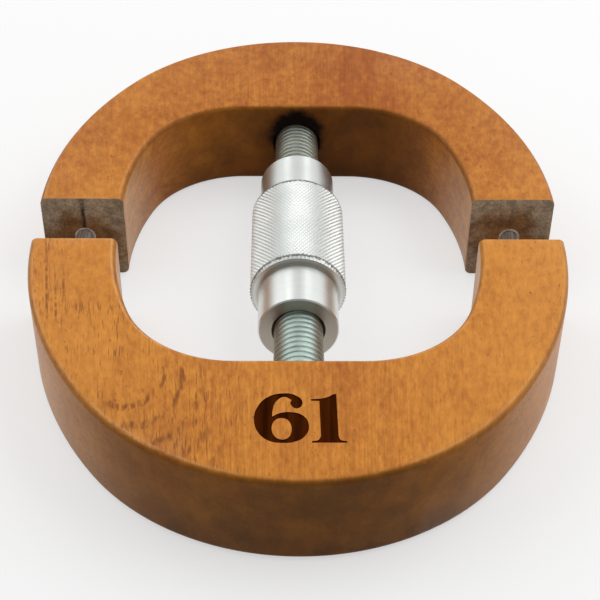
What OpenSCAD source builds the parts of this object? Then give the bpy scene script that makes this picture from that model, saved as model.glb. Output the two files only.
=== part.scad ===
// Hat stretcher: two half-oval wooden frames pushed apart by a turnbuckle.
// The sleeve has a right-hand thread at the front and a left-hand thread at the rear,
// so turning it moves both halves away from, or towards, the middle.
// Frame: +X right, +Y to the rear along the screw, +Z up, origin under the middle of the oval.

/* [Frame] */
// Length of the closed oval along the screw
closed_length = 214; // [196:1:240]
// Width of the oval across the screw
closed_width = 174; // [160:1:190]
// Height of the wooden frame
frame_height = 32; // [28:0.5:45]
// Rounding of the long edges
edge_radius = 2.2; // [1:0.1:4]
// Length of the closed inner opening, from flat to flat
inner_length = 115; // [104:1:130]
// Width of the inner opening at the split
inner_width = 118; // [108:1:130]
// Width of the flat that the stud stands in
flat_width = 39; // [26:1:46]
// Gap between the halves as shown
opening = 22; // [4:0.5:36]

/* [Turnbuckle] */
// Length of the sleeve over both hubs
sleeve_length = 80; // [68:1:90]
// How far the sleeve sits to the rear of the middle, as shown
sleeve_offset = 1.8; // [-3:0.1:3]
// Length of the knurled grip
grip_length = 44; // [30:1:54]
// Diameter over the knurled grip
grip_diameter = 31.8; // [29:0.2:36]
// Diameter of the smooth hubs
hub_diameter = 26; // [22:0.2:28]
// Chamfer on the grip's two edges
grip_chamfer = 0.8; // [0.4:0.1:1.5]
// Chamfer on the hubs' outer edges
hub_chamfer = 0.4; // [0.2:0.1:1]
// Diameter of the bore's mouth in each hub
mouth_diameter = 17; // [16.6:0.1:19]
// Depth of the bore's mouth, before the thread starts
mouth_depth = 3; // [1:0.5:6]

/* [Studs] */
// Outside diameter of the threaded studs
stud_diameter = 15.8; // [12:0.1:16.4]
// Gap left between the studs' inner ends when the halves are closed
stud_gap = 6; // [2:0.5:12]
// Depth of each stud's seat in the wood
stud_seat = 30; // [20:1:36]
// Chamfer on the studs' ends
stud_chamfer = 1.2; // [0.5:0.1:2]
// Diameter of the oversize hole where the stud enters the wood
stud_mouth_diameter = 17.8; // [17:0.1:20]
// Depth of that oversize hole
stud_mouth_depth = 7; // [3:0.5:12]

/* [Guides] */
// Diameter of the guide pins
pin_diameter = 5; // [4:0.1:6]
// Length of pin inside each half, at the gap shown
pin_engaged = 19; // [14:0.5:24]
// Chamfer on the pins' ends
pin_chamfer = 0.6; // [0.3:0.1:1]
// Outside diameter of the bushes that line the pin holes
bush_diameter = 7.2; // [6.4:0.1:9]
// Length of the bushes
bush_length = 14; // [8:0.5:18]
// Chamfer at the bushes' mouths
bush_chamfer = 0.4; // [0.2:0.1:0.6]

/* [Clearances] */
// Gap all round a stud in the sleeve's thread
thread_clearance = 0.06; // [0.02:0.01:0.1]
// Gap all round a guide pin in its bush
pin_clearance = 0.05; // [0.02:0.01:0.1]
// Glue line all round a stud or a bush in the wood
glue_line = 0.03; // [0.01:0.01:0.1]
// Room all round a guide pin past its bush
pin_hole_room = 0.5; // [0.2:0.1:1]
// Room past a guide pin's end when the halves are closed
pin_end_room = 1.5; // [0.5:0.5:3]

/* [Hidden] */
$fn = 96;

WOOD = [0.74, 0.46, 0.22];
ALUMINIUM = [0.83, 0.84, 0.84];
ZINC = [0.58, 0.63, 0.64];
STEEL = [0.52, 0.52, 0.53];
BUSH = [0.76, 0.72, 0.64];

// How far cutting shapes reach past the faces that they cut
overcut = 1;
// Angle by which the arcs run past their ends, where they are then cut
sweep_past = 3;
axis_height = frame_height / 2;
half_opening = opening / 2;

// Both outlines are ovals of arcs that meet without a corner. The line through the centres of two arcs
// that meet is the long side of a whole-number right triangle, and its first side runs along the screw.
OUTER_TRIANGLE = [3, 4, 5];
INNER_TRIANGLE = [44, 117, 125];

// Angle of that line, from across the screw
function join_angle(triangle) = atan2(triangle[0], triangle[1]);

// Distance between the two centres, for an oval that is longer than wide by the excess
function setback(triangle, excess) = excess * triangle[2] / (triangle[0] + triangle[1] - triangle[2]);

// How much less than half the width the smaller arc's radius is
function radius_loss(triangle, setback) = setback * (1 - triangle[1] / triangle[2]);

// Outer outline: two end arcs and two side arcs
half_length = closed_length / 2;
half_width = closed_width / 2;
side_setback = setback(OUTER_TRIANGLE, half_length - half_width);
end_radius = half_width - radius_loss(OUTER_TRIANGLE, side_setback);

// Inner outline: a flat at each end, four corner arcs and two side arcs
flat_y = inner_length / 2;
flat_half = flat_width / 2;
corner_reach = inner_width / 2 - flat_half;
inner_setback = setback(INNER_TRIANGLE, flat_y - corner_reach);
corner_radius = corner_reach - radius_loss(INNER_TRIANGLE, inner_setback);
corner_y = flat_y - corner_radius;

thread_bore = stud_diameter + 2 * thread_clearance;
stud_hole = stud_diameter + 2 * glue_line;
stud_outer_end = flat_y + half_opening + stud_seat;
stud_inner_end = half_opening + stud_gap / 2;

pin_x = (half_width + inner_width / 2) / 2;
pin_length = opening + 2 * pin_engaged;
pin_hole_depth = pin_engaged + half_opening + pin_end_room;
pin_hole = pin_diameter + 2 * pin_hole_room;
bush_hole = bush_diameter + 2 * glue_line;
bush_bore = pin_diameter + 2 * pin_clearance;

// Section of the solid oval, from an end arc's centre out, with rounded edges
module wall_section() {
    square([end_radius - edge_radius, frame_height]);
    translate([0, edge_radius])
        square([end_radius, frame_height - 2 * edge_radius]);
    for (z = [edge_radius, frame_height - edge_radius])
        translate([end_radius - edge_radius, z])
            circle(edge_radius);
}

// Section of the opening, from a corner arc's centre out, flaring at both faces round the rounded edges
module opening_section() {
    difference() {
        union() {
            translate([0, -overcut])
                square([corner_radius, frame_height + 2 * overcut]);
            for (z = [-overcut, frame_height - edge_radius])
                translate([corner_radius - overcut, z])
                    square([edge_radius + overcut, edge_radius + overcut]);
        }
        for (z = [edge_radius, frame_height - edge_radius])
            translate([corner_radius + edge_radius, z])
                circle(edge_radius);
    }
}

// Two arcs of one section that meet without a corner, in a frame whose X axis runs through both centres:
// the smaller one turns about the origin, and the larger one about a centre set back from it
module arc_pair(triangle, setback) {
    join = join_angle(triangle);
    rotate([0, 0, join]) {
        rotate_extrude(angle = 90 - join + sweep_past)
            children();
        translate([-setback, 0, 0])
            mirror([0, 1, 0])
                rotate_extrude(angle = join + sweep_past)
                    translate([setback, 0])
                        children();
    }
}

// All that lies to the left of a given x
module left_of(x) {
    translate([x - 2 * closed_width, -closed_length, -2 * overcut])
        cube([2 * closed_width, 2 * closed_length, frame_height + 4 * overcut]);
}

// All that lies in front of the split
module front_of_split() {
    translate([-closed_width, -closed_length, -2 * overcut])
        cube([2 * closed_width, closed_length, frame_height + 4 * overcut]);
}

// Right side of the rear half's solid oval, closed
module outer_quarter() {
    translate([0, half_length - end_radius, 0])
        arc_pair(OUTER_TRIANGLE, side_setback)
            wall_section();
}

// Right side of the rear half's opening, closed
module inner_quarter() {
    difference() {
        translate([flat_half, corner_y, 0])
            arc_pair(INNER_TRIANGLE, inner_setback)
                opening_section();
        left_of(flat_half);
    }
    translate([-overcut, corner_y, 0])
        rotate([90, 0, 90])
            linear_extrude(flat_half + overcut)
                opening_section();
    translate([-overcut, -overcut, -overcut])
        cube([flat_half + corner_radius / 2 + overcut, corner_y + corner_radius / 2 + overcut,
              frame_height + 2 * overcut]);
}

// Right side of the rear half, closed
module quarter() {
    difference() {
        outer_quarter();
        inner_quarter();
        left_of(0);
        front_of_split();
    }
}

// A hole along +Y
module hole(x, from, to, diameter) {
    translate([x, from, axis_height])
        rotate([-90, 0, 0])
            cylinder(d = diameter, h = to - from);
}

// One wooden half, as the rear one, at the gap shown
module wooden_half() {
    translate([0, half_opening, 0])
        difference() {
            union() {
                quarter();
                mirror([1, 0, 0])
                    quarter();
            }
            hole(0, flat_y - overcut, flat_y + stud_seat, stud_hole);
            hole(0, flat_y - overcut, flat_y + stud_mouth_depth, stud_mouth_diameter);
            for (x = [-pin_x, pin_x]) {
                hole(x, -overcut, pin_hole_depth, pin_hole);
                hole(x, -overcut, bush_length, bush_hole);
            }
        }
}

// A turned piece along +Y: its section is drawn as [radius, distance along the axis]
module turned(x, y) {
    translate([x, y, axis_height])
        rotate([-90, 0, 0])
            rotate_extrude()
                children();
}

// A plain round rod along +Y with chamfered ends
module rod(x, from, to, diameter, chamfer) {
    radius = diameter / 2;
    length = to - from;
    turned(x, from)
        polygon([[0, 0], [radius - chamfer, 0], [radius, chamfer], [radius, length - chamfer],
                 [radius - chamfer, length], [0, length]]);
}

// A bush from a split face into the wood, chamfered at its mouth
module bush(x, side) {
    inner = bush_bore / 2;
    outer = bush_diameter / 2;
    mirror([0, side < 0 ? 1 : 0, 0])
        turned(x, half_opening)
            polygon([[inner + bush_chamfer, 0], [outer, 0], [outer, bush_length], [inner, bush_length],
                     [inner, bush_chamfer]]);
}

module front_half() {
    color(WOOD)
        mirror([0, 1, 0])
            wooden_half();
}

module rear_half() {
    color(WOOD)
        wooden_half();
}

// One end of the sleeve, from its middle to the hub's face, as [radius, distance from the middle]
function sleeve_end() = [
    [grip_diameter / 2, grip_length / 2 - grip_chamfer],
    [grip_diameter / 2 - grip_chamfer, grip_length / 2],
    [hub_diameter / 2, grip_length / 2],
    [hub_diameter / 2, sleeve_length / 2 - hub_chamfer],
    [hub_diameter / 2 - hub_chamfer, sleeve_length / 2],
    [mouth_diameter / 2, sleeve_length / 2],
    [mouth_diameter / 2, sleeve_length / 2 - mouth_depth],
    [thread_bore / 2, sleeve_length / 2 - mouth_depth - (mouth_diameter - thread_bore) / 2],
];

module turnbuckle_sleeve() {
    rear = sleeve_end();
    front = [for (i = [len(rear) - 1:-1:0]) [rear[i][0], -rear[i][1]]];
    color(ALUMINIUM)
        turned(0, sleeve_offset)
            polygon(concat(rear, front));
}

module front_stud() {
    color(ZINC)
        rod(0, -stud_outer_end, -stud_inner_end, stud_diameter, stud_chamfer);
}

module rear_stud() {
    color(ZINC)
        rod(0, stud_inner_end, stud_outer_end, stud_diameter, stud_chamfer);
}

module guide_pin(x) {
    color(STEEL)
        rod(x, -pin_length / 2, pin_length / 2, pin_diameter, pin_chamfer);
}

module left_guide_pin() {
    guide_pin(-pin_x);
}

module right_guide_pin() {
    guide_pin(pin_x);
}

module front_left_bush() {
    color(BUSH)
        bush(-pin_x, -1);
}

module front_right_bush() {
    color(BUSH)
        bush(pin_x, -1);
}

module rear_left_bush() {
    color(BUSH)
        bush(-pin_x, 1);
}

module rear_right_bush() {
    color(BUSH)
        bush(pin_x, 1);
}

front_half();
rear_half();
turnbuckle_sleeve();
front_stud();
rear_stud();
left_guide_pin();
right_guide_pin();
front_left_bush();
front_right_bush();
rear_left_bush();
rear_right_bush();
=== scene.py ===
"""Looks of a hat stretcher: a split wooden oval that a turnbuckle sleeve spreads on two threaded studs.

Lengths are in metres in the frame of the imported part: X to the right, Y to the rear along the screw, Z up.
"""

import math

import bmesh
import bpy
from bpy.props import FloatProperty, FloatVectorProperty, IntProperty, PointerProperty
from mathutils import Matrix, Vector


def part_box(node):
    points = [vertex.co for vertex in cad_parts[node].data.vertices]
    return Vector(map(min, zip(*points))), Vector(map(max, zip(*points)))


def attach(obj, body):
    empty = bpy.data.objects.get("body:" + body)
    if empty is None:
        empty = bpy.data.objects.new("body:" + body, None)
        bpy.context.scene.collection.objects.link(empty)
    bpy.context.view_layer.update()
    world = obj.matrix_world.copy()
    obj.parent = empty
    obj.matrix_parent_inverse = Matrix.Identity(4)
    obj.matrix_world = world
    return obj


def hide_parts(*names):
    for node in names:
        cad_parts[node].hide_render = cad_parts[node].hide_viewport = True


bl_info = {
    "name": "Hat Stretcher",
    "version": (1, 0, 0),
    "blender": (4, 5, 0),
    "location": "View3D > Sidebar > Hat Stretcher",
    "description": "Dresses the halves, sleeve, studs, pins and bushes of a wooden hat stretcher",
    "category": "Object",
}

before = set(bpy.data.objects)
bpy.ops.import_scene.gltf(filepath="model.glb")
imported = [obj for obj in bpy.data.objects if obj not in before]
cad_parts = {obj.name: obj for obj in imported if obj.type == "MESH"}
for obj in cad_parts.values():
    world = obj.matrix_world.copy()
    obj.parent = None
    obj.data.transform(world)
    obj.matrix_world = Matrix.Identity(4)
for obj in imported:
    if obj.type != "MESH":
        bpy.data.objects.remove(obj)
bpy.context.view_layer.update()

MM = 0.001
# Points closer than this are one point, and faces that lean apart by less than this are one face
MERGE = 0.002 * MM
FLAT = math.radians(0.02)
REAR_LOW, REAR_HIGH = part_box("rear_half")
SLEEVE_LOW, SLEEVE_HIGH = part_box("turnbuckle_sleeve")
STUD_LOW, STUD_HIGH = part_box("front_stud")
PIN_LOW, PIN_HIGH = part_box("right_guide_pin")

# The split face of the rear half; the front half's is its mirror image in Y
SPLIT = REAR_LOW.y
TOP = REAR_HIGH.z
# Height of the screw and of the guide pins, and how far the pins lie from the screw
AXIS = (SLEEVE_LOW.z + SLEEVE_HIGH.z) / 2
PIN_REACH = (PIN_LOW.x + PIN_HIGH.x) / 2
PIN_RADIUS = (PIN_HIGH.x - PIN_LOW.x) / 2
GRIP_RADIUS = (SLEEVE_HIGH.x - SLEEVE_LOW.x) / 2
SLEEVE_MIDDLE = (SLEEVE_LOW.y + SLEEVE_HIGH.y) / 2
STUD_RADIUS = (STUD_HIGH.x - STUD_LOW.x) / 2

# Places of the bare and the worn finish in a wooden half, after the varnish
BARE, WORN = 1, 2
# Points along a thread's profile, the power that fills its crest, and the turns that the end cuts take off
THREAD_POINTS = 12
THREAD_FULLNESS = 0.35
SPARE_TURNS = 3
# Large lamps with places and shares of the power, strip lamps with places, and a strip's height in widths
LARGE_LAMPS = (("left_lamp", (-0.90, 0.40, 0.95), 0.8), ("right_lamp", (0.90, 0.28, 0.95), 1.2))
STRIP_LAMPS = (("left_strip", (-0.34, 0.92, 0.69)), ("right_strip", (0.34, 0.92, 0.69)))
STRIP_ASPECT = 4
# The floor's distance below the wood, the width of the camera's frame in millimetres, and plain white
FLOOR_DROP = 0.2 * MM
SENSOR_WIDTH = 36
WHITE = (1, 1, 1, 1)

# Outlines of the burned figures, in millimetres from the middle of the number's foot: "o" is a round point
# and "x" a corner
SIX_OUTSIDE = (
    (-5.0, 19.6, "o"), (-1.4, 18.9, "o"), (0.7, 15.7, "o"), (-0.9, 13.5, "o"), (-2.7, 15.2, "o"),
    (-2.4, 16.9, "x"), (-4.5, 18.1, "o"), (-6.8, 16.2, "o"), (-7.8, 12.4, "o"), (-7.9, 10.2, "x"),
    (-5.9, 11.5, "o"), (-3.0, 12.0, "o"), (0.6, 10.8, "o"), (2.4, 7.0, "o"), (1.2, 2.4, "o"),
    (-1.7, 0.3, "o"), (-4.8, -0.1, "o"), (-8.7, 0.7, "o"), (-11.7, 3.8, "o"), (-13.0, 9.0, "o"),
    (-12.1, 14.0, "o"), (-9.3, 18.0, "o"),
)
SIX_COUNTER = ((-5.3, 9.6, "o"), (-2.4, 5.6, "o"), (-4.9, 1.2, "o"), (-8.0, 5.6, "o"))
ONE = (
    (10.4, 19.4, "x"), (9.6, 19.3, "x"), (7.4, 17.9, "o"), (3.1, 17.2, "x"), (3.1, 16.6, "x"),
    (5.5, 16.5, "x"), (5.7, 2.6, "x"), (5.0, 1.1, "o"), (3.2, 0.6, "x"), (3.2, 0.0, "x"),
    (12.9, 0.0, "x"), (12.9, 0.6, "x"), (11.2, 1.1, "o"), (10.6, 2.6, "x"),
)


class SleeveSizes(bpy.types.PropertyGroup):
    """Sizes of the turnbuckle sleeve that its box doesn't give."""

    grip_length: FloatProperty(
        name="Grip length", description="Length of the knurled grip", default=44 * MM, unit="LENGTH")
    grip_chamfer: FloatProperty(
        name="Grip chamfer", description="Fall of the chamfer at both ends of the knurl",
        default=0.8 * MM, unit="LENGTH")
    grip_taper: FloatProperty(
        name="Grip taper", description="Length of the chamfer along the grip",
        default=1.3 * MM, unit="LENGTH")
    hub_diameter: FloatProperty(
        name="Hub diameter", description="Smooth hub at each end of the grip",
        default=26 * MM, unit="LENGTH")
    hub_chamfer: FloatProperty(
        name="Hub chamfer", description="Broken edge of the hub and fillet at its foot",
        default=0.4 * MM, unit="LENGTH")
    mouth_diameter: FloatProperty(
        name="Mouth diameter", description="Counterbore round the stud", default=17 * MM, unit="LENGTH")
    mouth_depth: FloatProperty(
        name="Mouth depth", description="Depth of the counterbore", default=3 * MM, unit="LENGTH")
    bore_diameter: FloatProperty(
        name="Bore diameter", description="Bore that takes the studs", default=15.92 * MM, unit="LENGTH")
    knurl_teeth: IntProperty(
        name="Knurl teeth", description="Diamonds round the grip", default=76, min=24)
    knurl_rows: IntProperty(
        name="Knurl rows", description="Diamonds along the grip", default=22, min=4)
    knurl_depth: FloatProperty(
        name="Knurl depth", description="Depth of the knurl's grooves", default=0.3 * MM, unit="LENGTH")


class StudSizes(bpy.types.PropertyGroup):
    """Sizes of the threads."""

    pitch: FloatProperty(
        name="Pitch", description="Advance of the thread in one turn",
        default=25.4 / 11 * MM, unit="LENGTH")
    depth: FloatProperty(
        name="Thread depth", description="From crest to root", default=0.6 * MM, unit="LENGTH")
    steps: IntProperty(
        name="Steps", description="Steps in one turn of the thread", default=48, min=12)


class WoodSizes(bpy.types.PropertyGroup):
    """Sizes of the marks in the wooden halves."""

    number_depth: FloatProperty(
        name="Number depth", description="How deep the size number is burned in",
        default=0.25 * MM, unit="LENGTH")
    number_place: FloatVectorProperty(
        name="Number place", description="Middle of the number's foot on the top of the front half",
        default=(0, -103.2 * MM), size=2, subtype="TRANSLATION")
    arris: FloatProperty(
        name="Arris", description="Worn edge round the split faces", default=0.35 * MM, unit="LENGTH")


class Finishes(bpy.types.PropertyGroup):
    """Colours of the pieces."""

    golden_wood: FloatVectorProperty(
        name="Golden wood", description="Varnished wood at the sides of the oval",
        default=(0.742, 0.297, 0.0475), subtype="COLOR")
    red_wood: FloatVectorProperty(
        name="Red wood", description="Varnished heartwood near the screw",
        default=(0.385, 0.096, 0.015), subtype="COLOR")
    pore: FloatVectorProperty(
        name="Pores", description="Dark pores along the grain, and rust on the pins",
        default=(0.19, 0.048, 0.012), subtype="COLOR")
    end_wood: FloatVectorProperty(
        name="Varnished end grain", description="Walls that look along the grain",
        default=(0.208, 0.074, 0.009), subtype="COLOR")
    bare_grey: FloatVectorProperty(
        name="Bare grey", description="Weathered end grain on the split faces",
        default=(0.54, 0.40, 0.27), subtype="COLOR")
    bare_brown: FloatVectorProperty(
        name="Bare brown", description="Stained end grain on the split faces",
        default=(0.34, 0.165, 0.065), subtype="COLOR")
    # Real wear on the split faces' arrises, and a painted highlight on the crests of the rounded edges
    worn_and_highlight: FloatVectorProperty(
        name="Worn edge", description="Pale wood where the varnish has rubbed off",
        default=(0.95, 0.62, 0.33), subtype="COLOR")
    # Painted sheen: a pale reflection on the inner walls near the split
    painted_sheen: FloatVectorProperty(
        name="Bloom", description="Pale haze on the inner walls near the split",
        default=(0.60, 0.62, 0.45), subtype="COLOR")
    scorch: FloatVectorProperty(
        name="Scorch", description="Burned wood of the number",
        default=(0.047, 0.0095, 0.0013), subtype="COLOR")
    # Old oil with painted shadow, in and round the stud holes
    oil_and_shadow: FloatVectorProperty(
        name="Old oil", description="Black oil soaked into the wood round the stud holes",
        default=(0.008, 0.003, 0.002), subtype="COLOR")
    aluminium: FloatVectorProperty(
        name="Aluminium", description="Bright turned sleeve",
        default=(0.845, 0.875, 0.850), subtype="COLOR")
    # Painted dark reflection of the brown wood on the sleeve's end faces and at its hubs' feet
    painted_reflection_aluminium: FloatVectorProperty(
        name="Dull aluminium", description="End faces of the sleeve and corners at its hubs' feet",
        default=(0.46, 0.42, 0.36), subtype="COLOR")
    zinc: FloatVectorProperty(
        name="Zinc", description="Bluish plate of the studs", default=(0.485, 0.595, 0.55), subtype="COLOR")
    # Painted brown reflection of the wood on the studs' sides, and painted shade on the rear stud
    zinc_reflection_and_shade: FloatVectorProperty(
        name="Oily zinc", description="Sides of the studs, brown with old oil",
        default=(0.26, 0.21, 0.15), subtype="COLOR")
    pin_steel: FloatVectorProperty(
        name="Pin steel", description="Dulled rod of the guide pins",
        default=(0.55, 0.53, 0.52), subtype="COLOR")
    liner: FloatVectorProperty(
        name="Liner", description="Pale bushes", default=(0.88, 0.74, 0.64), subtype="COLOR")
    # Real grime, also used as painted shade at the ends of the knurl
    grime_and_shade: FloatVectorProperty(
        name="Grime", description="Dirt in the threads and the knurl and on the split faces",
        default=(0.030, 0.020, 0.012), subtype="COLOR")


class StageSettings(bpy.types.PropertyGroup):
    """Floor, light and camera."""

    floor_size: FloatProperty(
        name="Floor size", description="Side of the floor", default=8, unit="LENGTH")
    floor_shade: FloatProperty(
        name="Floor shade", description="Share of the floor's white that the object's shadow can take away",
        default=0.45)
    shadow_reach: FloatProperty(
        name="Shadow reach", description="How far from the object its shadow keeps its full depth",
        default=0.5, unit="LENGTH")
    floor_bounce: FloatProperty(
        name="Floor bounce", description="Share of light that the floor throws back at the object",
        default=0.35)
    room_back: FloatProperty(
        name="Room behind", description="Light from the wall behind", default=0.70)
    room_front: FloatProperty(
        name="Room in front", description="Light from the camera's side", default=0.25)
    lamp_power: FloatProperty(
        name="Lamp power", description="Mean power of the two large soft lamps", default=6.9, unit="POWER")
    lamp_size: FloatProperty(
        name="Lamp size", description="Side of the large soft lamps", default=1.3, unit="LENGTH")
    strip_power: FloatProperty(
        name="Strip power", description="Power of each strip lamp behind", default=0.25, unit="POWER")
    strip_width: FloatProperty(
        name="Strip width", description="Width of the strip lamps", default=0.12, unit="LENGTH")
    target: FloatVectorProperty(
        name="Target", description="Point that the camera looks at",
        default=(0.6 * MM, -22.928 * MM, 16 * MM), subtype="TRANSLATION")
    distance: FloatProperty(
        name="Distance", description="From the camera to its target", default=462.075 * MM, unit="LENGTH")
    elevation: FloatProperty(
        name="Elevation", description="Camera's height above the horizon",
        default=math.radians(40.004), unit="ROTATION")
    yaw: FloatProperty(
        name="Yaw", description="Turn of the view from straight along the screw",
        default=math.radians(0.849), unit="ROTATION")
    roll: FloatProperty(
        name="Roll", description="Tilt of the frame", default=math.radians(0.675), unit="ROTATION")
    lens: FloatProperty(
        name="Lens", description="Focal length in millimetres on a 36 mm wide frame", default=84.906)


class HatStretcher(bpy.types.PropertyGroup):
    """All settings of the hat stretcher."""

    sleeve: PointerProperty(type=SleeveSizes)
    studs: PointerProperty(type=StudSizes)
    wood: PointerProperty(type=WoodSizes)
    finishes: PointerProperty(type=Finishes)
    stage: PointerProperty(type=StageSettings)


def settings():
    """The settings that the panel shows."""
    return bpy.context.scene.hat_stretcher


class Wire:
    """A number that runs through a node tree: sums on it become Math nodes."""

    def __init__(self, bench, socket):
        self.bench = bench
        self.socket = socket

    def __add__(self, other):
        return self.bench.math("ADD", self, other)

    def __sub__(self, other):
        return self.bench.math("SUBTRACT", self, other)

    def __rsub__(self, other):
        return self.bench.math("SUBTRACT", other, self)

    def __mul__(self, other):
        return self.bench.math("MULTIPLY", self, other)

    def __truediv__(self, other):
        return self.bench.math("DIVIDE", self, other)

    def __pow__(self, other):
        return self.bench.math("POWER", self, other)

    def __abs__(self):
        return self.bench.math("ABSOLUTE", self)


class Bench:
    """Builds one node tree: adds nodes, sets their sockets and links them."""

    def __init__(self, tree):
        self.tree = tree

    def put(self, socket, value):
        """Sets a socket, or links it to a wire or another socket."""
        if isinstance(value, Wire):
            value = value.socket
        if isinstance(value, bpy.types.NodeSocket):
            self.tree.links.new(value, socket)
        else:
            socket.default_value = value

    def feed(self, node, **inputs):
        """Sets sockets of a node by name, with an underscore for each space."""
        for name, value in inputs.items():
            self.put(node.inputs[name.replace("_", " ")], value)

    def add(self, kind, inputs=None, **attributes):
        """A new node with these attributes; an input is a value or what feeds it."""
        node = self.tree.nodes.new("ShaderNode" + kind)
        for name, value in attributes.items():
            setattr(node, name, value)
        for key, value in (inputs or {}).items():
            self.put(node.inputs[key], value)
        return node

    def math(self, operation, *values):
        """The result of one sum."""
        return Wire(self, self.add("Math", dict(enumerate(values)), operation=operation).outputs[0])

    def highest(self, first, *others):
        """The highest of some numbers."""
        for other in others:
            first = self.math("MAXIMUM", first, other)
        return first

    def length(self, across, up):
        """How long a line is that goes this far across and this far up."""
        return self.math("SQRT", across * across + up * up)

    def place(self):
        """Object coordinates."""
        return self.add("TexCoord").outputs["Object"]

    def normal(self):
        """The three parts of the surface's direction."""
        return self.parts(self.add("TexCoord").outputs["Normal"])

    def parts(self, vector):
        """The three parts of a vector."""
        return [Wire(self, output) for output in self.add("SeparateXYZ", {0: vector}).outputs]

    def joined(self, x, y, z=0.0):
        """A vector of three parts."""
        return self.add("CombineXYZ", {0: x, 1: y, 2: z}).outputs[0]

    def noise(self, vector, scale, detail=2.0, roughness=0.5):
        """Soft noise from 0 to 1."""
        inputs = {"Vector": vector, "Scale": scale, "Detail": detail, "Roughness": roughness}
        return Wire(self, self.add("TexNoise", inputs).outputs["Fac"])

    def drawn_out(self, vector, squash, scale, detail, roughness=0.5):
        """Soft noise whose marks are long in Y: the smaller the squash, the longer they are."""
        squashed = self.add("Mapping", {"Vector": vector, "Scale": (1, squash, 1)}).outputs["Vector"]
        return self.noise(squashed, scale, detail, roughness)

    def swing(self, noise, width):
        """A noise as a swing to both sides of nothing, of this width in all."""
        return (noise - 0.5) * width

    def step(self, value, low, high, start=0.0, end=1.0):
        """A smooth change from start at low to end at high."""
        inputs = {"Value": value, 1: low, 2: high, 3: start, 4: end}
        return Wire(self, self.add("MapRange", inputs, interpolation_type="SMOOTHSTEP").outputs[0])

    def fade(self, value, low, high, start=1.0):
        """A smooth change from start at low to nothing at high."""
        return self.step(value, low, high, start, 0.0)

    def mix(self, share, first, second):
        """A colour between two others."""
        node = self.add("Mix", data_type="RGBA")
        self.put(node.inputs["Factor"], share)
        for socket, value in zip((node.inputs[6], node.inputs[7]), (first, second)):
            self.put(socket, value if isinstance(value, bpy.types.NodeSocket) else (*value, 1))
        return node.outputs[2]

    def shade(self, colour, value):
        """A colour made darker or lighter by a grey value."""
        return self.add("VectorMath", {0: colour, "Scale": value}, operation="SCALE").outputs[0]

    def bump(self, height, strength, distance):
        """A normal from a height."""
        inputs = {"Height": height, "Strength": strength, "Distance": distance}
        return self.add("Bump", inputs).outputs["Normal"]

    def from_screw(self, place):
        """Distance from the screw's axis."""
        x, _, z = self.parts(place)
        return self.length(x, z - AXIS)


def new_finish(name, **constants):
    """A material with one Principled shader, whose constant sockets are set here."""
    material = bpy.data.materials.new(name)
    material.use_nodes = True
    tree = material.node_tree
    tree.nodes.clear()
    bench = Bench(tree)
    shader = bench.add("BsdfPrincipled")
    bench.feed(shader, **constants)
    output = bench.add("OutputMaterial")
    tree.links.new(shader.outputs["BSDF"], output.inputs["Surface"])
    return material, bench, shader


class Wood:
    """What the varnished wood is drawn from: places, directions, and noises that run along Y."""

    def __init__(self, bench):
        self.place = bench.place()
        self.x, self.y, self.z = bench.parts(self.place)
        self.normal_x, self.normal_y, self.normal_z = bench.normal()

        # the grain spreads like a fan towards the rear and sways by up to 2 mm
        fan = bench.joined(self.x / (self.y * 1.6 + 1), self.y, self.z)
        sway = bench.add("TexNoise", {"Vector": self.place, "Scale": 11.0, "Detail": 2.0}).outputs["Color"]
        reach = (2 * MM, 0, 2 * MM)
        along = bench.add("VectorMath", {0: sway, 1: reach, 2: fan}, operation="MULTIPLY_ADD").outputs[0]
        self.broad = bench.drawn_out(self.place, 0.5, 32.0, 3.0)
        self.patches = bench.drawn_out(self.place, 0.5, 75.0, 2.0)
        self.mottle = bench.drawn_out(along, 0.6, 150.0, 4.0, 0.6)
        self.flecks = bench.drawn_out(along, 0.45, 520.0, 4.0, 0.65)
        self.bands = bench.drawn_out(along, 0.05, 260.0, 3.0, 0.6)
        self.fibres = bench.drawn_out(along, 0.03, 1300.0, 2.0, 0.6)
        self.smears = bench.drawn_out(along, 0.22, 650.0, 2.0, 0.6)
        self.dashes = bench.drawn_out(along, 0.08, 2000.0, 1.0)
        self.dots = bench.drawn_out(along, 0.40, 1200.0, 1.0)

        # where the front half, the rear half, the rounded edges' crests and the end grain are
        self.front = bench.fade(self.y, -12 * MM, -4 * MM)
        self.rear = bench.step(self.y, -20 * MM, 60 * MM)
        self.crest = bench.step(self.normal_z, 0.80, 0.96) * bench.fade(self.normal_z, 0.97, 0.999)
        self.ends = bench.step(abs(self.normal_y), 0.30, 0.95)


def wood_tone(bench, wood, finish):
    """Golden wood that reddens towards the screw, with bands, flecks and fibres along the grain."""
    heart = bench.fade(abs(wood.x), 12 * MM, 60 * MM)
    rear_heart = bench.step(abs(wood.x - 31 * MM), 6 * MM, 40 * MM, 0.67, 0.40)
    side_wall = bench.step(abs(wood.normal_x), 0.4, 0.9)
    straight = bench.highest(heart * 0.75 + 0.25, side_wall)
    redness = heart * (1 - wood.rear) * 0.24 + rear_heart * wood.rear
    redness = redness + bench.swing(wood.broad, 0.9) + bench.swing(wood.mottle, 0.8)
    redness = redness + bench.swing(wood.bands, straight) * 0.6 + bench.swing(wood.flecks, 1.1)
    colour = bench.mix(bench.step(redness, -0.4, 1.1), finish.golden_wood, finish.red_wood)
    streaks = bench.swing(wood.fibres, straight) * 0.6 - bench.swing(wood.flecks, 0.25)
    return bench.shade(colour, streaks + 1)


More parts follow.
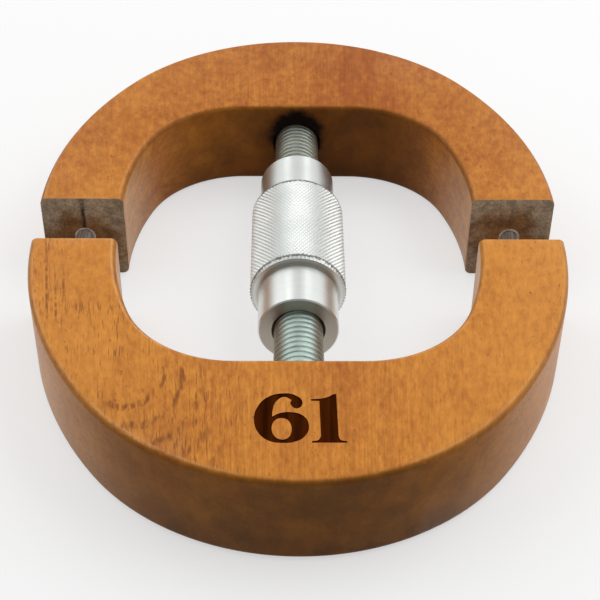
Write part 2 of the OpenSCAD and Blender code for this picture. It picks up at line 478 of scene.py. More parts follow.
def ring_figure(bench, wood):
    """Growth rings that come to the surface on the left of the front half, as broken dark arcs."""
    middle_x, middle_y = -54 * MM, -70 * MM
    half_width, half_length = 13.6 * MM, 18.3 * MM
    squareness, first_ring, spacing, line_phase = 3, 1.05, 0.43, 0.3
    across = abs(wood.x - middle_x) / half_width
    along = abs(wood.y - middle_y) / half_length
    ring = (across ** squareness + along ** squareness) ** (1 / squareness)
    ring = ring + bench.swing(wood.mottle, 0.35)
    phase = bench.math("FRACT", (ring - first_ring) / spacing + line_phase)
    line = bench.fade(abs(phase - line_phase), 0.05, 0.26)
    shown = bench.step(ring, 0.8, 1.0) * bench.fade(wood.y, -74 * MM, -66 * MM)
    shown = shown * bench.step(wood.x, -60 * MM, -52 * MM) * bench.fade(wood.x, -36 * MM, -14 * MM)
    return line * shown * bench.step(wood.smears, 0.42, 0.62, 0.0, 0.75)


def edge_figure(bench, wood):
    """Straight dark rows of pores along the left end of the front half."""
    # a point of the outermost row, and how far the rows go outwards for each length along Y
    row_x, row_y, slant = -80.9 * MM, -18.8 * MM, 0.132
    # in millimetres: how far the ends fade, and for each row how far in it lies and where it starts and ends
    fading = 3
    rows = 0.0
    for inwards, start, end in ((0, -16, -52), (2.8, -27, -52), (5.3, -25, -42)):
        aside = abs(wood.x - (row_x + inwards * MM) + (wood.y - row_y) * slant)
        row = bench.fade(aside, 0.1 * MM, 0.6 * MM)
        row = row * bench.step(wood.y, (end - fading) * MM, (end + fading) * MM)
        row = row * bench.fade(wood.y, (start - fading) * MM, (start + fading) * MM)
        rows = bench.highest(rows, row)
    beads = bench.step(bench.noise(bench.joined(wood.x, wood.y), 330.0), 0.38, 0.58, 0.2, 1.0)
    return rows * beads * bench.step(wood.smears, 0.35, 0.55, 0.3, 0.75)


def arch_figure(bench, wood, plain):
    """The dark arch round the plain wood at the left end of the front half."""
    from_rim = abs(plain + bench.swing(wood.mottle, 1.2) - 1.1)
    arch = bench.fade(from_rim, 0.1, 0.5) * wood.front
    arch = arch * bench.fade(wood.y, -30 * MM, -24 * MM) * bench.fade(wood.x, -60 * MM, -52 * MM)
    return arch * bench.step(wood.dashes, 0.52, 0.72, 0.0, 0.55)


def wood_pores(bench, wood):
    """Dark pores: dashes and dots all over, and the figure on the left of the front half."""
    # an oval of plain wood at the left end, with 1 at its rim
    middle_x, middle_y = -66.5 * MM, -27 * MM
    half_width, half_length = 10 * MM, 19 * MM
    plain = ((wood.x - middle_x) / half_width) ** 2 + ((wood.y - middle_y) / half_length) ** 2
    coarse = wood.front * bench.step(wood.x, -32 * MM, 8 * MM, 0.72, 0.10) + 0.10
    coarse = coarse * bench.step(plain + bench.swing(wood.mottle, 2), 0.5, 1.8, 0.1, 1.0)
    dashes = bench.step(wood.dashes, 0.57, 0.72, 0.0, 0.9) * coarse
    dashes = dashes * bench.step(wood.patches, 0.36, 0.58, 0.3, 1.0)
    dots = bench.step(wood.dots, 0.64, 0.82) * bench.step(wood.patches, 0.40, 0.60, 0.6, 0.15)
    rings, rows = ring_figure(bench, wood), edge_figure(bench, wood)
    figure = bench.highest(rings, rows, arch_figure(bench, wood, plain))
    figure = figure * bench.step(wood.z, TOP - 7 * MM, TOP - 2 * MM)
    return bench.highest(dashes, dots, figure) * bench.step(abs(wood.normal_y), 0.2, 0.6, 1.0, 0.2)


def varnish_wear_and_painted_light(bench, wood, colour, finish):
    """Painted highlight and wear on the edges' crests, painted shade on their flanks, painted sheen on the
    inner walls.
    """
    # Painted highlight, partly wear: pale crests of the rounded edges, most on the left of the front half
    highlight_and_wear = wood.crest * bench.step(wood.patches, 0.35, 0.60, 0.02, 0.26)
    highlight_and_wear = highlight_and_wear * bench.step(wood.x, -60 * MM, 0, 1.0, 0.4) * (1 - wood.rear * 0.8)
    colour = bench.mix(highlight_and_wear, colour, finish.worn_and_highlight)
    level = abs(wood.normal_z)
    # Painted shade: the rounded edges' flanks mixed towards half their colour, more at the rear
    flank_shade = bench.step(level, 0.05, 0.35) * bench.fade(level, 0.70, 0.94)
    colour = bench.mix(flank_shade * (wood.rear * 0.25 + 0.5), colour, bench.shade(colour, 0.5))
    # Painted sheen: a pale haze mixed into the inner walls near the split
    inside = bench.fade(wood.normal_x * wood.x / (50 * MM), -0.9, -0.3)
    sheen_share = inside * bench.fade(abs(wood.y), 28 * MM, 55 * MM, 0.15) * bench.fade(level, 0.1, 0.5)
    return bench.mix(sheen_share, colour, finish.painted_sheen)


def end_walls(bench, wood, colour, finish):
    """Darkens the walls that look along the grain, blotchy all over, with painted shade at the foot and
    painted sheen towards the ends.
    """
    blotch = bench.step(bench.noise(wood.place, 90.0, 4.0, 0.6), 0.3, 0.7, 0.75, 1.25)
    # Painted shade: darker towards the foot of the walls
    soil = bench.step(wood.z, 0, 14 * MM, 0.75, 1.0)
    # Painted sheen: lighter towards the left and right ends, most on the left of the rear half
    left = bench.step(wood.x, -42 * MM, 0, wood.rear * 0.50 + 1.12, 1.0)
    right = bench.step(wood.x, 25 * MM, 60 * MM, 1.0, 1.14 - wood.rear * 0.14)
    end_colour = bench.mix(0.2, finish.end_wood, colour)
    return bench.mix(wood.ends, colour, bench.shade(end_colour, blotch * soil * left * right))


def oil_stain_and_shadow(bench, wood):
    """Old oil and painted shadow in the inner walls round the studs: black at the hole and thin further out.
    """
    half_width, half_height, rise = 9.6 * MM, 10.4 * MM, 3.5 * MM
    from_hole = bench.length(wood.x / half_width, (wood.z - AXIS - rise) / half_height)
    from_hole = from_hole + bench.swing(bench.noise(wood.place, 330.0, 3.0), 0.4)
    # Old oil and painted shadow: black near the hole, thinning further out
    oil = bench.fade(from_hole, 0.75, 1.25, 0.75) + bench.fade(from_hole, 0.8, 1.9, 0.4)
    return oil * bench.fade(abs(wood.y), 80 * MM, 86 * MM) * wood.ends


def varnished_wood(finish):
    """Satin varnish over hardwood: fibres and pores along Y, redder near the screw, dark end grain."""
    material, bench, shader = new_finish("satin_varnished_wood", Specular_IOR_Level=0.12)
    wood = Wood(bench)
    pores = wood_pores(bench, wood)
    oil = oil_stain_and_shadow(bench, wood)
    colour = bench.mix(pores, wood_tone(bench, wood, finish), finish.pore)
    colour = varnish_wear_and_painted_light(bench, wood, colour, finish)
    colour = end_walls(bench, wood, colour, finish)
    # Old oil and painted shadow round the stud holes
    colour = bench.mix(bench.math("MINIMUM", oil, 1), colour, finish.oil_and_shadow)
    satin = bench.step(wood.broad + wood.fibres, 0.6, 1.4, 0.26, 0.38)
    roughness = satin + oil * 0.3 + wood.crest * wood.rear * 0.3
    relief = bench.bump(wood.fibres * 0.5 - pores, 0.1, 0.12 * MM)
    bench.feed(shader, Base_Color=colour, Roughness=roughness, Normal=relief)
    return material


def bare_end_grain(finish):
    """Unvarnished split faces: grey at the rim, brown round the pins, with a dark line up from each pin."""
    material, bench, shader = new_finish("bare_end_grain", Specular_IOR_Level=0.2)
    place = bench.place()
    x, _, z = bench.parts(place)
    across, up = abs(x) - PIN_REACH, z - AXIS
    blotch = bench.noise(place, 130.0, 4.0, 0.6)
    stain = bench.noise(place, 320.0, 3.0, 0.6)
    speck = bench.noise(place, 1300.0, 3.0, 0.7)
    from_pin = bench.length(across, up) + up * 0.2
    grey = bench.step(from_pin + bench.swing(blotch, 22 * MM), 7 * MM, 17 * MM)
    colour = bench.mix(grey, finish.bare_brown, finish.bare_grey)
    tone = bench.step(speck, 0.25, 0.75, 0.68, 1.30) * bench.step(stain, 0.3, 0.7, 0.70, 1.25)
    colour = bench.shade(colour, tone)

    wander = bench.swing(bench.noise(place, 700.0), 0.6 * MM)
    line = bench.fade(abs(across + wander), 0.1 * MM, 1.3 * MM) * bench.step(up, 0, 2 * MM)
    line = line * bench.step(stain, 0.38, 0.6, 0.25, 1.0) * bench.step(x, -10 * MM, 10 * MM, 0.95, 0.35)
    colour = bench.mix(line, colour, finish.grime_and_shade)
    roughness = bench.step(speck, 0.3, 0.7, 0.60, 0.80)
    bench.feed(shader, Base_Color=colour, Roughness=roughness, Normal=bench.bump(speck, 0.35, 0.15 * MM))
    return material


def worn_edge(finish):
    """Pale wood on the arrises of the split faces, patchy where varnish is left."""
    material, bench, shader = new_finish("worn_edge", Roughness=0.55)
    place = bench.place()
    patch = bench.step(bench.noise(place, 240.0, 3.0), 0.42, 0.60)
    colour = bench.mix(patch, finish.worn_and_highlight, finish.golden_wood)
    tone = bench.step(bench.noise(place, 1500.0), 0.3, 0.7, 0.8, 1.15)
    bench.feed(shader, Base_Color=bench.shade(colour, tone))
    return material


def scorched_wood(finish):
    """Burned-in figures: charred brown with the grain still showing."""
    material, bench, shader = new_finish("scorched_wood", Roughness=0.7, Specular_IOR_Level=0.0)
    grain = bench.drawn_out(bench.place(), 0.05, 420.0, 3.0, 0.6)
    colour = bench.shade(finish.scorch, bench.step(grain, 0.3, 0.7, 0.5, 1.5))
    bench.feed(shader, Base_Color=colour, Normal=bench.bump(grain, 0.3, 0.1 * MM))
    return material


def turned_aluminium(finish, sizes):
    """Bright metal with fine rings from the lathe: a satin knurl with grime in its grooves, smooth hubs,
    painted dark reflection on the end faces and hubs' feet, painted shade at the knurl's ends.
    """
    material, bench, shader = new_finish("turned_aluminium", Metallic=1.0)
    place = bench.place()
    _, y, _ = bench.parts(place)
    _, normal_y, _ = bench.normal()
    radius = bench.from_screw(place)
    from_grip_end = abs(y - SLEEVE_MIDDLE) - sizes.grip_length / 2
    rings = bench.noise(bench.joined(radius, y), 2600.0, 2.0, 0.7)
    dull = bench.noise(place, 70.0, 3.0)
    hub = sizes.hub_diameter / 2
    grip = bench.step(radius, hub + 1.4 * MM, hub + 2.2 * MM)
    facing = bench.step(abs(normal_y), 0.90, 0.99)

    # Painted dark reflection on the end faces of the hubs
    end_face_reflection = facing * bench.step(from_grip_end, 2 * MM, 10 * MM)
    from_corner = abs(radius - hub) + abs(from_grip_end)
    # Painted dark reflection and shade in the corner at each hub's foot
    smooth = bench.highest(bench.step(abs(normal_y), 0.5, 0.75), 1 - grip)
    corner = smooth * bench.fade(from_corner, 0.2 * MM, 1.8 * MM, 0.6)
    bright = bench.step(dull, 0.35, 0.65, 1.0, 0.94) * bench.step(rings, 0.3, 0.7, 0.93, 1.0)
    metal = bench.shade(finish.aluminium, bright)
    # Painted dark reflection on the end faces and in the hubs' corners
    colour = bench.mix(bench.highest(end_face_reflection, corner), metal, finish.painted_reflection_aluminium)

    # Painted shade in a ragged band at each end of the knurl
    ragged = bench.swing(bench.noise(place, 1100.0, 1.0), 1.6 * MM)
    rim = bench.fade(abs(from_grip_end + sizes.grip_taper + ragged), 0.2 * MM, 0.8 * MM, 0.75)
    root = GRIP_RADIUS - sizes.knurl_depth
    grooves = bench.fade(radius, root, root + 0.5 * sizes.knurl_depth, 0.15)
    # Grime in the knurl's grooves and painted shade at its ends
    darkening = grip * bench.highest(rim, grooves)
    roughness = bench.step(rings + dull, 0.6, 1.4, 0.31, 0.41) + grip * 0.13 + facing * 0.03
    relief = bench.bump(rings * (facing * 15 + 1), 0.10, 0.03 * MM)
    bench.feed(shader, Base_Color=bench.mix(darkening, colour, finish.grime_and_shade), Roughness=roughness, Normal=relief)
    return material


def zinc_plate(finish, sizes):
    """Bluish plated thread, bright on the crests with grime in its roots, painted brown reflection on its
    sides and painted shade at the rear.
    """
    material, bench, shader = new_finish("zinc_plate", Metallic=1.0)
    place = bench.place()
    _, y, _ = bench.parts(place)
    normal_x, _, _ = bench.normal()
    clouds = bench.noise(place, 220.0, 3.0)
    # Painted brown reflection of the wood on the stud's sides
    side_reflection = bench.step(abs(normal_x) + bench.swing(clouds, 0.3), 0.42, 0.72, 0.0, 0.72)
    # Painted shade on the rear stud
    rear_shade = bench.step(y, 0, 40 * MM, 0.0, 0.55)
    # Painted reflection on the sides and painted shade at the rear, in one brown
    colour = bench.mix(bench.highest(side_reflection, rear_shade), finish.zinc, finish.zinc_reflection_and_shade)
    colour = bench.shade(colour, bench.step(clouds, 0.3, 0.7, 0.85, 1.1))
    root = STUD_RADIUS - sizes.depth
    darkening = bench.fade(bench.from_screw(place), root, root + 0.5 * sizes.depth, 0.08)
    roughness = bench.step(clouds, 0.3, 0.7, 0.48, 0.60)
    bench.feed(shader, Base_Color=bench.mix(darkening, colour, finish.grime_and_shade), Roughness=roughness)
    return material


def drawn_steel(finish):
    """Dull rod with draw lines along it and a little rust."""
    material, bench, shader = new_finish("drawn_steel", Metallic=0.7)
    place = bench.place()
    lines = bench.drawn_out(place, 0.02, 3000.0, 2.0)
    rust = bench.step(bench.noise(place, 500.0, 4.0, 0.7), 0.58, 0.70, 0.0, 0.6)
    colour = bench.mix(rust, finish.pin_steel, finish.pore)
    colour = bench.shade(colour, bench.step(lines, 0.3, 0.7, 0.7, 1.3))
    bench.feed(shader, Base_Color=colour, Roughness=bench.step(lines, 0.3, 0.7, 0.36, 0.52))
    return material


def pale_liner(finish):
    """Thin pale bush, a little soiled."""
    material, bench, shader = new_finish("pale_liner", Roughness=0.5)
    soil = bench.step(bench.noise(bench.place(), 420.0, 3.0), 0.45, 0.75, 0.0, 0.6)
    bench.feed(shader, Base_Color=bench.mix(soil, finish.liner, finish.bare_brown))
    return material


def only(piece):
    """Selects one piece alone and makes it the active one."""
    bpy.ops.object.select_all(action="DESELECT")
    piece.select_set(True)
    bpy.context.view_layer.objects.active = piece


def edit_all():
    """Enters edit mode and selects everything."""
    bpy.ops.object.mode_set(mode="EDIT")
    bpy.ops.mesh.select_all(action="SELECT")


def apply_modifier(piece, kind, **attributes):
    """Adds a modifier with these attributes and applies it at once."""
    modifier = piece.modifiers.new(kind.title(), kind)
    for name, value in attributes.items():
        setattr(modifier, name, value)
    only(piece)
    bpy.ops.object.modifier_apply(modifier=modifier.name)


def pick(piece, kind, test):
    """Selects in edit mode the vertices, edges or faces that the test accepts, and says how many."""
    bpy.ops.mesh.select_all(action="DESELECT")
    bpy.ops.mesh.select_mode(type=kind)
    mesh = bmesh.from_edit_mesh(piece.data)
    mesh.normal_update()
    items = {"VERT": mesh.verts, "EDGE": mesh.edges, "FACE": mesh.faces}[kind]
    chosen = [item for item in items if test(item)]
    for item in chosen:
        item.select_set(True)
    bmesh.update_edit_mesh(piece.data)
    return len(chosen)


def hand_over(piece, body, node, smooth_angle):
    """Ends a piece: outward normals, smooth shading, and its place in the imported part."""
    only(piece)
    edit_all()
    bpy.ops.mesh.normals_make_consistent(inside=False)
    bpy.ops.object.mode_set(mode="OBJECT")
    bpy.ops.object.shade_smooth_by_angle(angle=math.radians(smooth_angle))
    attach(piece, body)
    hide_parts(node)


def on_split(y):
    """Whether a Y lies on a split face."""
    return abs(abs(y) - SPLIT) < MERGE


def is_arris(edge):
    """Whether an edge runs round the outside of a split face, well away from the pin hole."""
    middle = (edge.verts[0].co + edge.verts[1].co) / 2
    from_pin = math.hypot(abs(middle.x) - PIN_REACH, middle.z - AXIS)
    flat = [on_split(face.calc_center_median().y) for face in edge.link_faces]
    on_face = all(on_split(vertex.co.y) for vertex in edge.verts)
    return on_face and flat.count(True) == 1 and from_pin > 3 * PIN_RADIUS


def shape_half(node, finishes, arris):
    """A wooden half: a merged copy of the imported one, with bare split faces and worn arrises."""
    piece = bpy.data.objects.new(node + "_wood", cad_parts[node].data.copy())
    bpy.context.scene.collection.objects.link(piece)
    piece.data.materials.clear()
    for finish in finishes:
        piece.data.materials.append(finish)
    only(piece)
    bpy.ops.mesh.customdata_custom_splitnormals_clear()
    edit_all()
    bpy.ops.mesh.remove_doubles(threshold=MERGE)
    bpy.ops.mesh.dissolve_limited(angle_limit=FLAT)
    pick(piece, "FACE", lambda face: on_split(face.calc_center_median().y))
    piece.active_material_index = BARE
    bpy.ops.object.material_slot_assign()
    if not pick(piece, "EDGE", is_arris):
        raise RuntimeError(f"{node} has no arris to wear down")
    bpy.ops.mesh.bevel(
        offset=arris, segments=2, affect="EDGES", material=WORN, loop_slide=False, clamp_overlap=True)
    bpy.ops.object.mode_set(mode="OBJECT")
    return piece


def draw_figures(outlines, place, finish, depth):
    """A cutter for the burned number: flat outlines, made thick and lifted to the top of the wood."""
    curve = bpy.data.curves.new("number", "CURVE")
    curve.dimensions = "2D"
    curve.fill_mode = "BOTH"
    curve.extrude = depth
    curve.resolution_u = 8
    for outline in outlines:
        spline = curve.splines.new("BEZIER")
        spline.bezier_points.add(len(outline) - 1)
        spline.use_cyclic_u = True
        for point, (x, y, kind) in zip(spline.bezier_points, outline):
            point.co = (x * MM, y * MM, 0)
            point.handle_left_type = point.handle_right_type = "AUTO" if kind == "o" else "VECTOR"
    cutter = bpy.data.objects.new("number_cutter", curve)
    bpy.context.scene.collection.objects.link(cutter)
    only(cutter)
    bpy.ops.object.convert(target="MESH")
    cutter = bpy.context.active_object
    cutter.location = (place[0], place[1], TOP)
    bpy.ops.object.transform_apply()
    edit_all()
    bpy.ops.mesh.remove_doubles(threshold=MERGE)
    bpy.ops.mesh.normals_make_consistent(inside=False)
    bpy.ops.object.mode_set(mode="OBJECT")
    cutter.data.materials.clear()
    cutter.data.materials.append(finish)
    return cutter


def burn_number(piece, finish, sizes):
    """Sinks the size number into the top of the front half."""
    cutter = draw_figures((SIX_OUTSIDE, SIX_COUNTER, ONE), sizes.number_place, finish, sizes.number_depth)
    apply_modifier(
        piece, "BOOLEAN", operation="DIFFERENCE", solver="EXACT", object=cutter, material_mode="TRANSFER")
    bpy.data.objects.remove(cutter)


def on_groove(vertex):
    """Whether a point of the knurl's cell is a corner or the middle, where grooves cross."""
    return (abs(vertex.co.y) > MERGE) == (abs(vertex.co.z) > MERGE)


def knurled_tube(sizes):
    """The grip's skin: one cell of the knurl, repeated round and along and rolled up about the screw."""
    root = GRIP_RADIUS - sizes.knurl_depth
    length = sizes.grip_length - 2 * sizes.grip_taper
    width = 2 * math.pi * root / sizes.knurl_teeth
    pitch = length / sizes.knurl_rows
    bpy.ops.object.select_all(action="DESELECT")
    upright = (0, -math.pi / 2, 0)
    bpy.ops.mesh.primitive_grid_add(x_subdivisions=2, y_subdivisions=2, size=1, rotation=upright)
    tube = bpy.context.active_object
    tube.name = "turnbuckle_sleeve_knurled"
    tube.scale = (width, pitch, 1)
    bpy.ops.object.transform_apply()
    bpy.ops.object.mode_set(mode="EDIT")
    # four corners and the middle are joined by the grooves, and the points between are raised
    if pick(tube, "VERT", on_groove) != 5:
        raise RuntimeError("the knurl's cell isn't three points by three")
    bpy.ops.mesh.vert_connect()
    pick(tube, "VERT", lambda vertex: not on_groove(vertex))
    bpy.ops.transform.translate(value=(-sizes.knurl_depth, 0, 0))
    bpy.ops.object.mode_set(mode="OBJECT")
    for step, count in (((0, 0, width), sizes.knurl_teeth), ((0, pitch, 0), sizes.knurl_rows)):
        apply_modifier(
            tube, "ARRAY", count=count, use_relative_offset=False, use_constant_offset=True,
            constant_offset_displace=step, use_merge_vertices=True, merge_threshold=MERGE)
    apply_modifier(tube, "SIMPLE_DEFORM", deform_method="BEND", deform_axis="Y", angle=2 * math.pi)
    tube.location = (-root, SLEEVE_MIDDLE - length / 2 + pitch / 2, AXIS)
    bpy.ops.object.transform_apply()
    edit_all()
    bpy.ops.mesh.remove_doubles(threshold=10 * MERGE)
    bpy.ops.object.mode_set(mode="OBJECT")
    return tube


def draw_ring(piece, radius, y):
    """Extrudes the selected loop and sets the new one on a circle round the screw."""
    bpy.ops.mesh.extrude_region()
    mesh = bmesh.from_edit_mesh(piece.data)
    for vertex in mesh.verts:
        if vertex.select:
            out = Vector((vertex.co.x, 0, vertex.co.z - AXIS)).normalized() * radius
            vertex.co = Vector((0, y, AXIS)) + out
    bmesh.update_edit_mesh(piece.data)


def is_open(edge):
    """Whether an edge has a face on one side alone."""
    return len(edge.link_faces) == 1


def turn_end(piece, sizes, side):
    """Draws one end of the sleeve, from knurl to bore: side is 1 for the rear and -1 for the front."""
    grip_end = SLEEVE_MIDDLE + side * sizes.grip_length / 2
    hub_end = SLEEVE_HIGH.y if side > 0 else SLEEVE_LOW.y
    mouth_end = hub_end - side * sizes.mouth_depth
    hub, mouth, bore = sizes.hub_diameter / 2, sizes.mouth_diameter / 2, sizes.bore_diameter / 2
    edge = sizes.hub_chamfer
    fillet, lip = edge / 3, edge / 2
    pick(piece, "EDGE", lambda e: is_open(e) and (e.verts[0].co.y - SLEEVE_MIDDLE) * side > 0)
    for radius, y in (
        (GRIP_RADIUS - sizes.grip_chamfer, grip_end),
        (hub + fillet, grip_end),
        (hub, grip_end + side * fillet),
        (hub, hub_end - side * edge),
        (hub - edge, hub_end),
        (mouth + lip, hub_end),
        (mouth, hub_end - side * lip),
        (mouth, mouth_end),
        (bore, mouth_end - side * (mouth - bore)),
    ):
        draw_ring(piece, radius, y)


def draw_profile(name, points):
    """A bent line through the points, drawn by extruding one vertex."""
    bpy.ops.object.select_all(action="DESELECT")
    bpy.ops.mesh.primitive_plane_add(size=MM)
    piece = bpy.context.active_object
    piece.name = name
    bpy.ops.object.mode_set(mode="EDIT")
    bpy.ops.mesh.select_mode(type="VERT")
    bpy.ops.mesh.select_all(action="SELECT")
    bpy.ops.mesh.merge(type="CENTER")
    bpy.ops.transform.translate(value=Vector(points[0]))
    for start, end in zip(points, points[1:]):
        bpy.ops.mesh.extrude_vertices_move(TRANSFORM_OT_translate={"value": Vector(end) - Vector(start)})
    bpy.ops.object.mode_set(mode="OBJECT")
    return piece


def thread_profile(sizes):
    """Points of one thread, from root over its full crest to root."""
    root = STUD_RADIUS - sizes.depth
    profile = []
    for index in range(THREAD_POINTS + 1):
        at_root = index in (0, THREAD_POINTS)
        rise = 0 if at_root else math.sin(math.pi * index / THREAD_POINTS) ** THREAD_FULLNESS
        profile.append((root + sizes.depth * rise, sizes.pitch * index / THREAD_POINTS, 0))
    return profile


def threaded_rod(name, node, sizes, hand):
    """A stud with a real helical thread: hand is 1 for a right-hand thread and -1 for a left-hand one."""
    low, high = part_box(node)
    rod = draw_profile(name, thread_profile(sizes))
    turns = math.ceil((high.y - low.y) / sizes.pitch) + SPARE_TURNS
    apply_modifier(
        rod, "SCREW", axis="Y", angle=hand * 2 * math.pi, screw_offset=sizes.pitch, iterations=turns,
        steps=sizes.steps, render_steps=sizes.steps, use_merge_vertices=True, merge_threshold=MERGE)
    rod.location = (0, low.y - SPARE_TURNS / 2 * sizes.pitch, AXIS)
    bpy.ops.object.transform_apply()
    edit_all()
    bpy.ops.mesh.remove_doubles(threshold=MERGE)
    for y, direction in ((low.y, -1), (high.y, 1)):
        bpy.ops.mesh.select_all(action="SELECT")
        bpy.ops.mesh.bisect(
            plane_co=(0, y, 0), plane_no=(0, direction, 0), use_fill=True, clear_outer=True, threshold=MERGE)
    bpy.ops.object.mode_set(mode="OBJECT")
    return rod


def dress(names, finish):
    """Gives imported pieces, whose shape is right, a better finish."""
    for name in names:
        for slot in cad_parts[name].material_slots:
            slot.material = finish


def white_floor(stage):
    """Pale floor: white with a soft shadow where it is seen or mirrored, and less bright as a light."""
    material, bench, shader = new_finish("white_floor", Roughness=1.0, Specular_IOR_Level=0.0)
    path = bench.add("LightPath").outputs
    seen = bench.highest(path["Is Camera Ray"], path["Is Glossy Ray"], path["Is Transmission Ray"])
    away = bench.add("VectorMath", {0: bench.place()}, operation="LENGTH").outputs["Value"]
    shade = bench.fade(away, stage.shadow_reach, 2 * stage.shadow_reach, stage.floor_shade)
    grey = seen * shade + (1 - seen) * stage.floor_bounce
    bench.feed(shader, Base_Color=bench.shade((1, 1, 1), grey))
    bench.feed(shader, Emission_Color=WHITE, Emission_Strength=seen * (1 - shade))
    return material


def build_room(stage):
    """The room's light: bright behind, darker on the camera's side, and white where the camera sees it."""
    world = bpy.data.worlds.new("room")
    bpy.context.scene.world = world
    world.use_nodes = True
    tree = world.node_tree
    tree.nodes.clear()
    bench = Bench(tree)
    _, y, _ = bench.parts(bench.add("TexCoord").outputs["Generated"])
    strength = bench.step(y, -0.9, 0.9, stage.room_front, stage.room_back)
    light = bench.add("Background", {"Color": WHITE, "Strength": strength})
    white = bench.add("Background", {"Color": WHITE, "Strength": 1.0})
    seen = bench.add("LightPath").outputs["Is Camera Ray"]
    mixed = bench.add("MixShader", {0: seen, 1: light.outputs[0], 2: white.outputs[0]})
    output = bench.add("OutputWorld")
    tree.links.new(mixed.outputs[0], output.inputs["Surface"])


def hang_lamp(name, place, width, height, power):
    """A soft lamp that faces the object."""
    lamp = bpy.data.lights.new(name, "AREA")
    lamp.shape = "RECTANGLE"
    lamp.size = width
    lamp.size_y = height
    lamp.energy = power
    holder = bpy.data.objects.new(name, lamp)
    bpy.context.scene.collection.objects.link(holder)
    holder.location = place
    holder.rotation_mode = "QUATERNION"
    holder.rotation_quaternion = (Vector((0, 0, AXIS)) - Vector(place)).to_track_quat("-Z", "Y")


def set_camera(stage):
    """The camera at the photograph's viewing angle."""
    level = math.cos(stage.elevation)
    ahead = Vector((math.sin(stage.yaw) * level, math.cos(stage.yaw) * level, -math.sin(stage.elevation)))
    right = Vector((math.cos(stage.yaw), -math.sin(stage.yaw), 0))
    up = right.cross(ahead)
    rolled_right = math.cos(stage.roll) * right + math.sin(stage.roll) * up
    rolled_up = math.cos(stage.roll) * up - math.sin(stage.roll) * right
    data = bpy.data.cameras.new("camera")
    data.sensor_fit = "HORIZONTAL"
    data.sensor_width = SENSOR_WIDTH
    data.lens = stage.lens
    data.clip_start = 10 * MM
    camera = bpy.data.objects.new("camera", data)
    bpy.context.scene.collection.objects.link(camera)
    turn = Matrix((rolled_right, rolled_up, -ahead)).transposed()
    place = Vector(stage.target) - ahead * stage.distance
    camera.matrix_world = Matrix.Translation(place) @ turn.to_4x4()
    bpy.context.scene.camera = camera


class MakeStage(bpy.types.Operator):
    """Lay the floor, light the room and set the camera"""

    bl_idname = "hat_stretcher.make_stage"
    bl_label = "Stage"

    def execute(self, context):
        stage = settings().stage
        bpy.ops.object.select_all(action="DESELECT")
        bpy.ops.mesh.primitive_plane_add(size=stage.floor_size, location=(0, 0, -FLOOR_DROP))
        floor = context.active_object
        floor.name = "floor"
        floor.data.materials.append(white_floor(stage))
        build_room(stage)
        for name, place, share in LARGE_LAMPS:
            hang_lamp(name, place, stage.lamp_size, stage.lamp_size, share * stage.lamp_power)
        for name, place in STRIP_LAMPS:
            hang_lamp(name, place, stage.strip_width, STRIP_ASPECT * stage.strip_width, stage.strip_power)
        set_camera(stage)
        context.scene.view_settings.view_transform = "Standard"
        return {"FINISHED"}


class MakeWoodenHalves(bpy.types.Operator):
    """Shape and varnish the two wooden halves and burn in the size number"""

    bl_idname = "hat_stretcher.make_wooden_halves"
    bl_label = "Wooden halves"

    def execute(self, context):
        sizes, finish = settings().wood, settings().finishes
        finishes = (varnished_wood(finish), bare_end_grain(finish), worn_edge(finish))
        for side in ("front", "rear"):
            half = shape_half(side + "_half", finishes, sizes.arris)
            if side == "front":
                burn_number(half, scorched_wood(finish), sizes)
            hand_over(half, side + "_frame", side + "_half", smooth_angle=30)
        return {"FINISHED"}


class MakeSleeve(bpy.types.Operator):
    """Knurl and turn the turnbuckle sleeve"""

    bl_idname = "hat_stretcher.make_sleeve"
    bl_label = "Turnbuckle sleeve"

    def execute(self, context):
        sizes = settings().sleeve
        sleeve = knurled_tube(sizes)
        bpy.ops.object.mode_set(mode="EDIT")
        turn_end(sleeve, sizes, 1)
        turn_end(sleeve, sizes, -1)
        pick(sleeve, "EDGE", is_open)
        bpy.ops.mesh.bridge_edge_loops()
        bpy.ops.object.mode_set(mode="OBJECT")
        sleeve.data.materials.append(turned_aluminium(settings().finishes, sizes))
        hand_over(sleeve, "sleeve", "turnbuckle_sleeve", smooth_angle=25)
        return {"FINISHED"}


class MakeStuds(bpy.types.Operator):
    """Cut the two threaded studs, of opposite hand"""

    bl_idname = "hat_stretcher.make_studs"
    bl_label = "Studs"

    def execute(self, context):
        sizes = settings().studs
        plate = zinc_plate(settings().finishes, sizes)
        for side, hand in (("front", 1), ("rear", -1)):
            node = side + "_stud"
            rod = threaded_rod(node + "_thread", node, sizes, hand)
            rod.data.materials.append(plate)
            hand_over(rod, side + "_frame", node, smooth_angle=50)
        return {"FINISHED"}


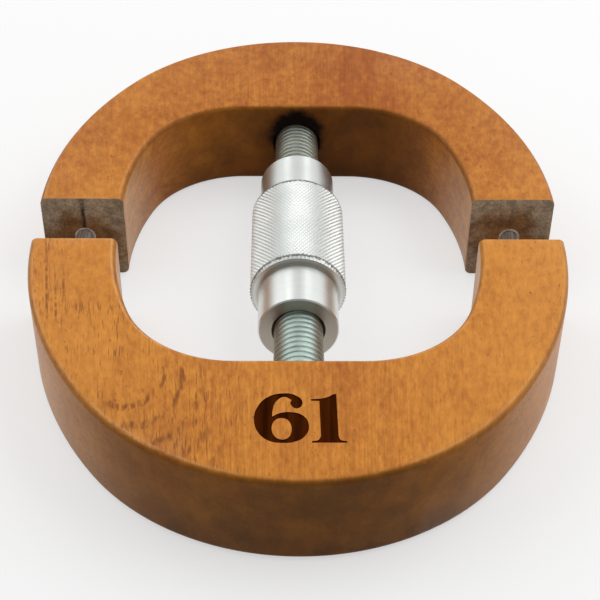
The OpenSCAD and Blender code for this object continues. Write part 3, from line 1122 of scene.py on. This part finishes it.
class MakeGuidePins(bpy.types.Operator):
    """Finish the guide pins as drawn steel rod"""

    bl_idname = "hat_stretcher.make_guide_pins"
    bl_label = "Guide pins"

    def execute(self, context):
        dress(("left_guide_pin", "right_guide_pin"), drawn_steel(settings().finishes))
        return {"FINISHED"}


class MakeBushes(bpy.types.Operator):
    """Finish the pale bushes that line the pin holes"""

    bl_idname = "hat_stretcher.make_bushes"
    bl_label = "Bushes"

    def execute(self, context):
        names = [f"{end}_{side}_bush" for end in ("front", "rear") for side in ("left", "right")]
        dress(names, pale_liner(settings().finishes))
        return {"FINISHED"}


class HatStretcherPanel(bpy.types.Panel):
    """Buttons and sizes of the hat stretcher"""

    bl_idname = "VIEW3D_PT_hat_stretcher"
    bl_label = "Hat Stretcher"
    bl_space_type = "VIEW_3D"
    bl_region_type = "UI"
    bl_category = "Hat Stretcher"

    def draw(self, context):
        for operator in OPERATORS:
            self.layout.operator(operator.bl_idname)
        for part in HatStretcher.__annotations__:
            group = getattr(settings(), part)
            box = self.layout.box()
            for name in group.__annotations__:
                box.prop(group, name)


OPERATORS = (MakeStage, MakeWoodenHalves, MakeSleeve, MakeStuds, MakeGuidePins, MakeBushes)
GROUPS = (SleeveSizes, StudSizes, WoodSizes, Finishes, StageSettings, HatStretcher)
CLASSES = (*GROUPS, *OPERATORS, HatStretcherPanel)


def register():
    """Adds the classes and the settings."""
    for cls in CLASSES:
        bpy.utils.register_class(cls)
    bpy.types.Scene.hat_stretcher = PointerProperty(type=HatStretcher)


def unregister():
    """Takes the classes and the settings out again."""
    del bpy.types.Scene.hat_stretcher
    for cls in reversed(CLASSES):
        bpy.utils.unregister_class(cls)


def main():
    """Makes the stage and every piece."""
    register()
    bpy.ops.hat_stretcher.make_stage()
    bpy.ops.hat_stretcher.make_wooden_halves()
    bpy.ops.hat_stretcher.make_sleeve()
    bpy.ops.hat_stretcher.make_studs()
    bpy.ops.hat_stretcher.make_guide_pins()
    bpy.ops.hat_stretcher.make_bushes()


if __name__ == "__main__":
    main()
